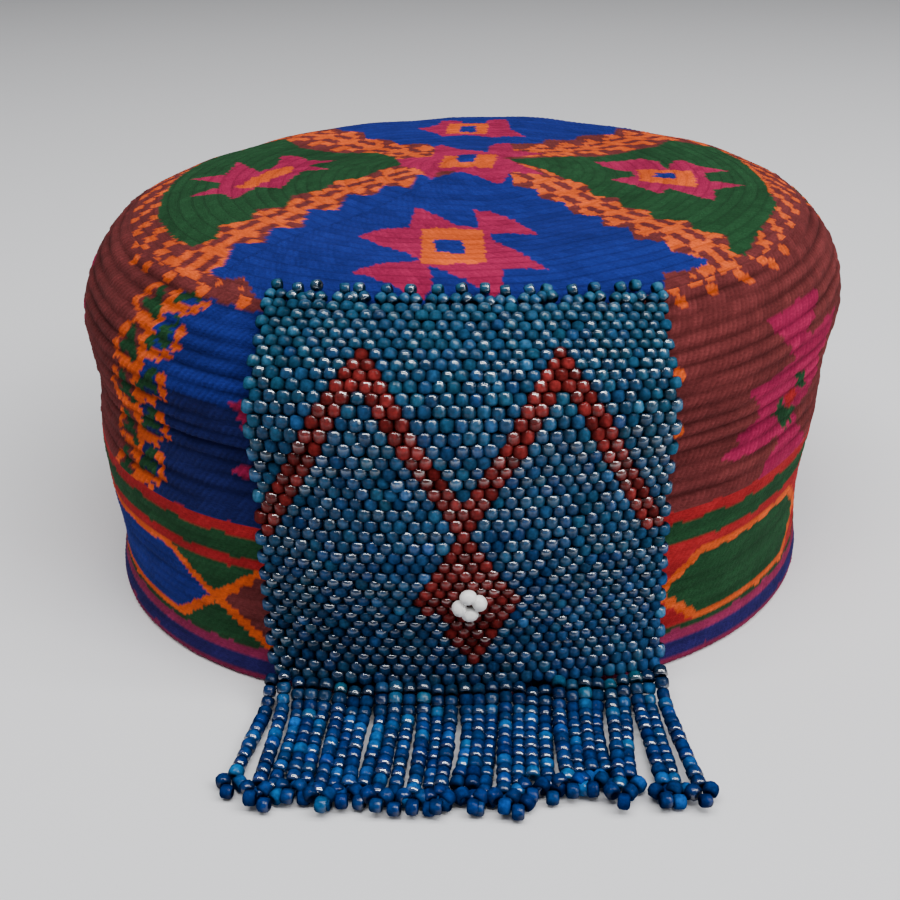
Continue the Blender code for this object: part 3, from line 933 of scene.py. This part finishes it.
def beads(
    name, centres, along, outwards, widths, lengths, colours, shines, replaced,
    material=GLASS, section=BEAD_SECTION,
):
    """Many beads in one mesh: each is the section turned about its hole, set on its own three axes. The
    glass is painted brightest along its front and darker towards the ends of its hole, as painted
    light and shade, and in alpha is how much its lining shines."""
    along = unit(along)
    outwards = unit(outwards - (outwards * along).sum(-1, keepdims=True) * along)
    axes = np.stack([np.cross(along, outwards), outwards, along], axis=1)
    section = np.array(section)
    turn = np.linspace(0, 2 * np.pi, BEAD_SIDES, endpoint=False)
    radius, place = section[1:-1, :1], section[1:-1, 1:]
    rings = np.stack([radius * np.cos(turn), radius * np.sin(turn), place + 0 * turn], axis=-1)
    local = np.vstack([[0, 0, section[0, 1]], rings.reshape(-1, 3), [0, 0, section[-1, 1]]])
    sized = local[None] * np.stack([widths, widths, lengths], axis=-1)[:, None, :]
    points = centres[:, None, :] + np.einsum("bpk,bkc->bpc", sized, axes)
    count, each = len(centres), len(local)
    quads = ribbon_faces(len(section) - 2, BEAD_SIDES) + 1
    first = np.arange(BEAD_SIDES) + 1
    last = first + (len(section) - 3) * BEAD_SIDES
    ends = np.vstack([
        np.stack([0 * first, np.roll(first, -1), first], axis=-1),
        np.stack([0 * last + each - 1, last, np.roll(last, -1)], axis=-1),
    ])
    shift = np.arange(count)[:, None, None] * each
    mesh = bpy.data.meshes.new(name)
    faces = (quads + shift).reshape(-1, 4).tolist() + (ends + shift).reshape(-1, 3).tolist()
    mesh.from_pydata(points.reshape(-1, 3), [], faces)
    mesh.shade_smooth()
    # painted light on the side that faces outwards, and painted shade towards the hole's ends
    lit_front = 0.55 + 0.95 * np.clip(np.sin(turn), 0, 1) ** 3
    painted_shading = np.r_[PAINTED_LIGHT_AND_SHADE[0], np.outer(PAINTED_LIGHT_AND_SHADE[1:-1], lit_front).ravel(), PAINTED_LIGHT_AND_SHADE[-1]]
    shine = np.repeat(SHINE, [1] + [BEAD_SIDES] * (len(SHINE) - 2) + [1])
    paint(mesh, "glass", colours[:, None, :] * painted_shading[:, None], (shine * shines[:, None]).ravel())
    mesh.materials.append(material)
    piece = bpy.data.objects.new(name, mesh)
    bpy.context.scene.collection.objects.link(piece)
    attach(piece, "root")
    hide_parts(replaced)


def woven_rows():
    """(row from the top, half beads from the middle) of every bead of the panel."""
    rows, halves = [], []
    for row in range(BEAD_ROWS):
        places = np.arange(-30, 31, 2) if row % 2 == 0 else np.arange(-29, 30, 2)
        rows.append(np.full(len(places), row))
        halves.append(places)
    return np.concatenate(rows), np.concatenate(halves)


def red_in_panel(row, half):
    """Two peaks whose slopes meet in the middle, and a lozenge under them."""
    peak_row, peak = ZIGZAG_PEAK
    place = half - PATTERN_MIDDLE
    below = row - peak_row
    from_peak = np.abs(np.abs(place) - peak)
    red = (from_peak <= below) & (from_peak > below - ZIGZAG_WIDTH) & (row <= ZIGZAG_ENDS)
    for line, left, right in LOZENGE:
        red |= (row == line) & (place >= left) & (place <= right)
    return red


DEEP_GLASS = np.array([0.006, 0.027, 0.092])
TEAL_GLASS = np.array([0.012, 0.054, 0.098])
RED_GLASS = np.array([0.125, 0.012, 0.012])
TEAL_SHARE = (0.25, 0.55, 0.25, 0.22)  # low in the middle, more at the top, more at the sides, and spread
PAINTED_GLINT_BEADS = (0.04, 1.7)  # painted glints: share of the beads painted brighter, and how much brighter
BRIGHTNESS = (0.75, 1.25)  # of the beads, from and to
# Painted shade and light on the panel's glass: darker towards the sides and low down, lighter low on the
# right and along the edges
PAINTED_SHADE_AT_SIDES = 0.3
PAINTED_SHADE_LOW_DOWN = (0.62, 0.26, 0.6)  # painted shade low down: brightness at the foot, what is added upwards, and up to where
PAINTED_LIGHT_LOW_RIGHT = (0.9, 0.4)  # painted light low on the right: what is added, and up to where
PAINTED_LIGHT_AT_EDGE = (0.95, 1.8)  # painted light on the edge beads: where the panel's edge begins, and how much brighter it is painted


def blue_glass(up, across, count):
    """Blue-green glass, greener at the top and the sides and bluer low down. Over that, as products, shade
    and light are painted: dimmer low down and towards the sides, brighter low on the right, brightest
    along the edges, and a few beads brighter as painted glints."""
    least, at_top, at_sides, spread = TEAL_SHARE
    share = least + at_top * up**2 + at_sides * np.abs(across) ** 3 + chance.normal(0, spread, count)
    colours = DEEP_GLASS + (TEAL_GLASS - DEEP_GLASS) * np.clip(share, 0, 1)[:, None]
    # a few beads painted brighter as painted glints, and a tone that differs at random from bead to bead
    bright = np.where(chance.random(count) < PAINTED_GLINT_BEADS[0], PAINTED_GLINT_BEADS[1], 1.0)
    bright = bright * chance.uniform(*BRIGHTNESS, count)
    # painted shade towards the sides and low down, then painted light low on the right and on the edge beads
    foot, added, reached = PAINTED_SHADE_LOW_DOWN
    bright = bright * (1 - PAINTED_SHADE_AT_SIDES * across**2) * (foot + added * np.clip(up / reached, 0, 1))
    added, reached = PAINTED_LIGHT_LOW_RIGHT
    bright = bright * (1 + added * np.clip(across, 0, 1) * np.clip(1 - up / reached, 0, 1))
    bright = np.where(np.abs(across) > PAINTED_LIGHT_AT_EDGE[0], PAINTED_LIGHT_AT_EDGE[1], 1.0) * bright
    return colours * bright[:, None]


def bead_panel():
    """Beads in rows on the wool, each a little off its place and its direction, as thread holds them."""
    row, half = woven_rows()
    count = len(row)
    up = row_height(row + chance.normal(0, ROWS_WANDER, count))
    step = row_height(row - 0.5) - row_height(row + 0.5)
    across = half / HALF_BEADS
    across = across + drift(up) * (1 - across**2) + chance.normal(0, PLACES_WANDER, count)
    middle = GAP + BEAD / 2
    centres = panel_place(across, up, middle + chance.normal(0, PROUD_SPREAD, count))
    along = panel_place(across, up + NEARBY, middle) - panel_place(across, up - NEARBY, middle)
    beside = panel_place(across + NEARBY, up, middle) - panel_place(across - NEARBY, up, middle)
    rows_apart = np.linalg.norm(along, axis=-1) / (2 * NEARBY) * step
    beads_apart = np.linalg.norm(beside, axis=-1) / (2 * NEARBY) * 2 / HALF_BEADS
    widths = beads_apart * chance.normal(*PANEL_BEAD_WIDTH, count)
    outwards = unit(panel_place(across, up, middle + 0.001) - panel_place(across, up, middle))
    tilted = outwards + chance.normal(0, FACES_TILT, outwards.shape)
    along = unit(along) + chance.normal(0, HOLES_TILT, along.shape)
    lengths = rows_apart * chance.normal(*PANEL_BEAD_LENGTH, count)
    # the red glass differs at random, and is painted darker low down as painted shade
    reds = RED_GLASS * (chance.uniform(0.5, 1.3, count) * (0.5 + 0.5 * up))[:, None]
    shines = np.clip(chance.random(count) ** 1.4 * (0.5 + 0.7 * up), 0, 1)
    red = red_in_panel(row, half)
    for name, chosen, paint_of in (
        ("panel_blue_beads", ~red, blue_glass(up, across, count)),
        ("panel_red_beads", red, reds),
    ):
        beads(
            name, centres[chosen], along[chosen], tilted[chosen], widths[chosen],
            lengths[chosen], paint_of[chosen], shines[chosen], "bead_panel",
        )


bead_panel()

# White flower
# Four white beads in a ring, sewn onto the middle of the lozenge, over the woven rows.

FLOWER = (27.8, 0.3)  # row, and half beads from the pattern's middle
FLOWER_RADIUS = 0.0022
FLOWER_BEAD = (0.0032, 0.0038)  # width and length
FLOWER_PROUD = 0.0009  # over the woven beads

# The four beads' places round the ring, in degrees anticlockwise from the right
PETALS = (96.0, 16.0, -88.0, 196.0)

# Half section of these rounder beads, as shares of their width and length: (radius, along)
ROUND_SECTION = (
    (0.0, -0.48), (0.20, -0.45), (0.38, -0.33), (0.48, -0.16), (0.5, 0.0),
    (0.48, 0.16), (0.38, 0.33), (0.20, 0.45), (0.0, 0.48),
)


def directions(across, up, off):
    """(centres, rightwards, upwards) of places on the panel, from places a little further along it."""
    centres = panel_place(across, up, off)
    rightwards = unit(panel_place(across + 2 * NEARBY, up, off) - centres)
    return centres, rightwards, unit(panel_place(across, up + 2 * NEARBY, off) - centres)


def white_flower():
    """Four beads round a small circle, each lying along it."""
    up = row_height(np.full(1, FLOWER[0]))
    across = (PATTERN_MIDDLE + FLOWER[1]) / HALF_BEADS + drift(up)
    middle, rightwards, upwards = directions(across, up, GAP + BEAD + FLOWER_PROUD)
    turn = np.radians(PETALS)[:, None]
    whole = np.ones(len(PETALS))
    beads(
        "panel_white_beads", middle + FLOWER_RADIUS * (np.cos(turn) * rightwards + np.sin(turn) * upwards),
        np.cos(turn) * upwards - np.sin(turn) * rightwards, whole[:, None] * np.cross(rightwards, upwards),
        whole * FLOWER_BEAD[0], whole * FLOWER_BEAD[1], np.ones((len(PETALS), 3)), whole, "bead_panel",
        CHALK, ROUND_SECTION,
    )


white_flower()

# Top edge of the panel
# A row of small points, three beads each, sewn along the panel's upper edge.

PICOTS = 18
PICOTS_END = 0.95  # of the panel's half width
PICOTS_STAND = 1.008  # of the panel's height
PICOT_HALF_WIDTH = 0.027  # of the panel's half width
PICOT_HEIGHT = 0.026  # of the panel's height
PICOT_BEAD = (0.00252, 0.002142)  # width and length
PICOT_SLOPE = 1.3  # of its two lower beads, which lean together
PICOT_TILT = 0.2
# the picots' glass is painted this much lighter, as painted light on the top edge
PICOTS_PAINTED_LIGHTER = 1.3
PICOTS_WANDER = (0.012, 0.004, 0.003)  # along the edge, in height, and in height of single beads
PICOT_TOP_PROUD = 0.0004


def top_picots():
    """At each place one bead in front, one behind and a third between them, higher up the crown."""
    place = np.linspace(-PICOTS_END, PICOTS_END, PICOTS) + chance.normal(0, PICOTS_WANDER[0], PICOTS)
    across = (place[:, None] + PICOT_HALF_WIDTH * np.array([-1, 0, 1])).ravel()
    up = PICOTS_STAND + np.array([0.0, PICOT_HEIGHT, 0.0]) + chance.normal(0, PICOTS_WANDER[1], (PICOTS, 1))
    up = up + chance.normal(0, PICOTS_WANDER[2], (PICOTS, 3))
    off = np.tile(GAP + BEAD / 2 + np.array([0.0, PICOT_TOP_PROUD, 0.0]), PICOTS)
    centres, rightwards, upwards = directions(across, up.ravel(), off)
    slope = np.tile([PICOT_SLOPE, 0.0, -PICOT_SLOPE], PICOTS)[:, None]
    along = rightwards + upwards * slope + chance.normal(0, PICOT_TILT, centres.shape)
    count = len(centres)
    # painted lighter, as painted light on the top edge
    colours = blue_glass(np.ones(count), across, count) * PICOTS_PAINTED_LIGHTER
    widths, lengths = (np.full(count, size) for size in PICOT_BEAD)
    shines = chance.uniform(0.1, 1.0, count)
    outwards = np.cross(rightwards, upwards)
    beads("panel_top_picots", centres, along, outwards, widths, lengths, colours, shines, "bead_panel")


top_picots()

# Fringe
# Thirty short strands of the same beads, strung from the panel's lowest row. They lie splayed on the
# table, and each ends in a small loop of three beads.

# The strands in groups, left to right: (strands, tip's shift to the right, reach)
LOCKS = (
    (1, -0.0045, 0.0295), (2, -0.0020, 0.0310), (2, -0.0012, 0.0300), (2, -0.0016, 0.0310),
    (2, -0.0020, 0.0300), (2, -0.0022, 0.0310), (2, -0.0018, 0.0315), (2, -0.0022, 0.0305),
    (2, -0.0020, 0.0310), (2, -0.0015, 0.0315), (2, -0.0008, 0.0285), (2, -0.0003, 0.0280),
    (2, -0.0002, 0.0275), (2, -0.0010, 0.0310), (2, 0.0019, 0.0320), (1, 0.0038, 0.0330),
)
STRAND_BEAD = 0.00250  # from bead to bead along a strand
STRANDS_START = 0.0056  # height of each strand's first bead
STARTS_PROUD = 0.0003  # they hang this much in front of the panel's lowest beads
STARTS_SPREAD = 0.0008  # how unevenly high they begin
TIPS_SPREAD = (0.0003, 0.0007)  # how uneven their tips are, sideways and ahead
BOWS = 0.0004  # spread of the strands' sideways bows
TIP_HEIGHT = 0.58  # of a bead, over the table
REACHES_FROM = 0.0042  # the groups' reaches are counted from this far behind the lowest beads
FRINGE_BEAD_WIDTH = (1.06, 0.05)  # against BEAD, and its spread
FRINGE_BEAD_LENGTH = (1.0, 0.03)  # against STRAND_BEAD, and its spread
KEEPS_APART = 0.98  # how much of their distance the strands of a group keep at their tips
LIFTS = (0.0, 0.0012, 0.0003, 0.0009)  # neighbouring tips lie over each other
SHADED_TINT_AT_TOP = 0.8  # of a strand's first bead against the panel's blue, darker and like the panel's glass, as painted shade under the panel's foot,
TINT = np.array([0.28, 0.88, 1.6])  # and from its fifth bead on
PAINTED_GLINT_SHARE = 0.15  # share of them painted brighter and more cyan, as painted glints
PAINTED_GLINT_TINT = (1.9, 2.6, 1.8)
DULL_TINT = 0.85
LOOPS_SHINE = 0.25  # against the strands' beads
LOOPS_TURN = 0.15  # how unevenly the loops lie
FRINGE_TILT = (0.06, 0.08)  # how unevenly holes and faces point

# The loop of three beads at a tip: (beads ahead of the strand's end, beads to its side, how far each
# points ahead)
LOOP = ((0.35, -0.6, 1.0), (1.2, 0.0, 0.0), (0.35, 0.6, -1.0))


def strand(start, tip, bow):
    """Points along one strand: down from the panel's lowest row along a bell curve, then flat along the
    table to its tip, with a bow to one side."""
    share = np.linspace(0, 1, 120) ** 1.5
    reach = tip[1] - start[1]
    x = start[0] + (tip[0] - start[0]) * share**1.3 + bow * np.sin(np.pi * share)
    y = start[1] + reach * share
    z = tip[2] + (start[2] - tip[2]) * np.exp(-(share * abs(reach) / BEAD * 0.9) ** 2)
    return np.stack([x, y, z], axis=-1)


def fringe():
    """Beads at equal steps along each strand, and at each tip three that stand across it in a loop."""
    centres, along, from_top, sparkle = [], [], [], []
    total = sum(strands for strands, _, _ in LOCKS)
    number = 0

    def foot_at(strands_passed, off):
        """The place under the panel after so many of the strands, off the wool."""
        across = np.array([strands_passed / total * 2 - 1])
        return panel_place(across, np.zeros(1), off, foot=0.0)[0]

    for strands, shift, reach in LOCKS:
        group = foot_at(number + strands / 2, 0.0)
        for _ in range(strands):
            foot = foot_at(number + 0.5, GAP + BEAD / 2)
            height = STRANDS_START + chance.normal(0, STARTS_SPREAD)
            start = np.array([foot[0], foot[1] - STARTS_PROUD, height])
            sideways = shift + chance.normal(0, TIPS_SPREAD[0]) - (foot[0] - group[0]) * (1 - KEEPS_APART)
            tip = foot + (sideways, REACHES_FROM - reach + chance.normal(0, TIPS_SPREAD[1]), 0.0)
            tip[2] = BEAD * TIP_HEIGHT + LIFTS[number % len(LIFTS)]
            path = strand(start, tip, chance.normal(0, BOWS))
            passed = np.r_[0, np.cumsum(np.linalg.norm(np.diff(path, axis=0), axis=1))]
            at = np.arange(0.0, passed[-1], STRAND_BEAD)
            places, ahead, behind = (
                np.stack([np.interp(at + d, passed, path[:, k]) for k in range(3)], axis=-1)
                for d in (0.0, 0.0006, -0.0006)
            )
            way = unit(path[-1] - path[-8])
            side = np.array([-way[1], way[0], 0.0])
            turn = chance.normal(0, LOOPS_TURN)
            for forward, beside, turned in LOOP:
                off = way * forward + side * (beside + turn * forward)
                centres.append((path[-1] + BEAD * off)[None])
                along.append((way * turned + side * (1 - abs(turned) * 0.4))[None])
                from_top.append([len(at)])
                sparkle.append([LOOPS_SHINE])
            centres.append(places)
            along.append(ahead - behind)
            from_top.append(np.arange(len(at)))
            sparkle.append(np.ones(len(at)))
            number += 1
    centres, along = np.vstack(centres), np.vstack(along)
    count = len(centres)
    along = unit(along) + chance.normal(0, FRINGE_TILT[0], along.shape)
    outwards = np.array([0.0, -0.5, 1.0]) + chance.normal(0, FRINGE_TILT[1], (count, 3))
    blend = np.clip(np.concatenate(from_top) / 4, 0, 1)[:, None]
    colours = blue_glass(np.full(count, 0.1), np.zeros(count), count)
    # the first beads painted darker, as painted shade where the strands leave the panel
    colours = colours * (SHADED_TINT_AT_TOP + (TINT - SHADED_TINT_AT_TOP) * blend)
    # a few beads painted brighter as painted glints, the rest a little duller
    colours = colours * np.where(chance.random((count, 1)) < PAINTED_GLINT_SHARE, PAINTED_GLINT_TINT, DULL_TINT)
    shines = chance.random(count) ** 1.6 * np.concatenate(sparkle)
    widths = BEAD * chance.normal(*FRINGE_BEAD_WIDTH, count)
    lengths = STRAND_BEAD * chance.normal(*FRINGE_BEAD_LENGTH, count)
    beads("fringe_beads", centres, along, outwards, widths, lengths, colours, shines, "bead_fringe")


fringe()

# Table, light and camera
# A pale plain surface under two long tube lights, with a window on the right and a dim light behind.
# The camera stands in front, a little above the crown, and looks down.

FLOOR_SIZE = 3.0
floor_mesh = bpy.data.meshes.new("table")
floor_corners = [(x * FLOOR_SIZE, y * FLOOR_SIZE, 0.0) for x, y in ((-1, -1), (1, -1), (1, 1), (-1, 1))]
floor_mesh.from_pydata(floor_corners, [], [(0, 1, 2, 3)])
table_material, table_tree, table_shader = new_material("pale_table")
fed(table_tree, table_shader, Base_Color=(0.80, 0.80, 0.82, 1.0), Roughness=0.9)
floor_mesh.materials.append(table_material)
table = bpy.data.objects.new("table", floor_mesh)
bpy.context.scene.collection.objects.link(table)


# The lamps: (name, place, what they point at, length, width, watts)
LAMPS = (
    ("tube_front", (0.20, -0.42, 1.00), (0.0, 0.0, 0.05), 1.8, 0.04, 12.0),
    ("tube_middle", (0.20, -0.10, 1.10), (0.0, 0.0, 0.05), 1.8, 0.04, 10.0),
    ("ceiling", (-0.5, 0.9, 1.1), (0.0, 0.1, 0.05), 1.4, 1.4, 2.2),
    ("window", (1.0, -0.55, 0.70), (0.0, 0.0, 0.05), 0.9, 0.9, 5.0),
)


def placed(holder, right, up, back, place):
    """Turn the object to these three axes and set it at its place."""
    rows = [(right[k], up[k], back[k], place[k]) for k in range(3)]
    holder.matrix_world = Matrix(rows + [(0, 0, 0, 1)])
    bpy.context.scene.collection.objects.link(holder)


for name, place, target, length, width, watts in LAMPS:
    lamp = bpy.data.lights.new(name, "AREA")
    lamp.shape = "RECTANGLE"
    lamp.size = length
    lamp.size_y = width
    lamp.energy = watts
    away = unit(np.array(place) - np.array(target))
    side = unit(np.cross((0.0, 1.0, 0.0), away))
    placed(bpy.data.objects.new(name, lamp), side, np.cross(away, side), away, place)

world = bpy.data.worlds.new("room")
world.use_nodes = True
fed(world.node_tree, world.node_tree.nodes["Background"], Color=(0.97, 0.98, 1.0, 1.0), Strength=0.17)
bpy.context.scene.world = world

CAMERA_PLACE = (0.0032, -0.2567, 0.1655)
CAMERA_LENS, SENSOR_WIDTH = 43.316, 36.0  # mm
CAMERA_DOWN = math.radians(28.94)
CAMERA_LEFT = math.radians(1.54)
CAMERA_ROLL = math.radians(1.26)
lens = bpy.data.cameras.new("camera")
lens.lens = CAMERA_LENS
lens.sensor_width = SENSOR_WIDTH
lens.clip_start = 0.01
camera = bpy.data.objects.new("camera", lens)
level = math.cos(CAMERA_DOWN)
forward = np.array([-math.sin(CAMERA_LEFT) * level, math.cos(CAMERA_LEFT) * level, -math.sin(CAMERA_DOWN)])
right = unit(np.cross(forward, (0.0, 0.0, 1.0)))
upwards = np.cross(right, forward)
rolled_right = right * math.cos(CAMERA_ROLL) - upwards * math.sin(CAMERA_ROLL)
rolled_up = upwards * math.cos(CAMERA_ROLL) + right * math.sin(CAMERA_ROLL)
placed(camera, rolled_right, rolled_up, -forward, CAMERA_PLACE)
bpy.context.scene.camera = camera
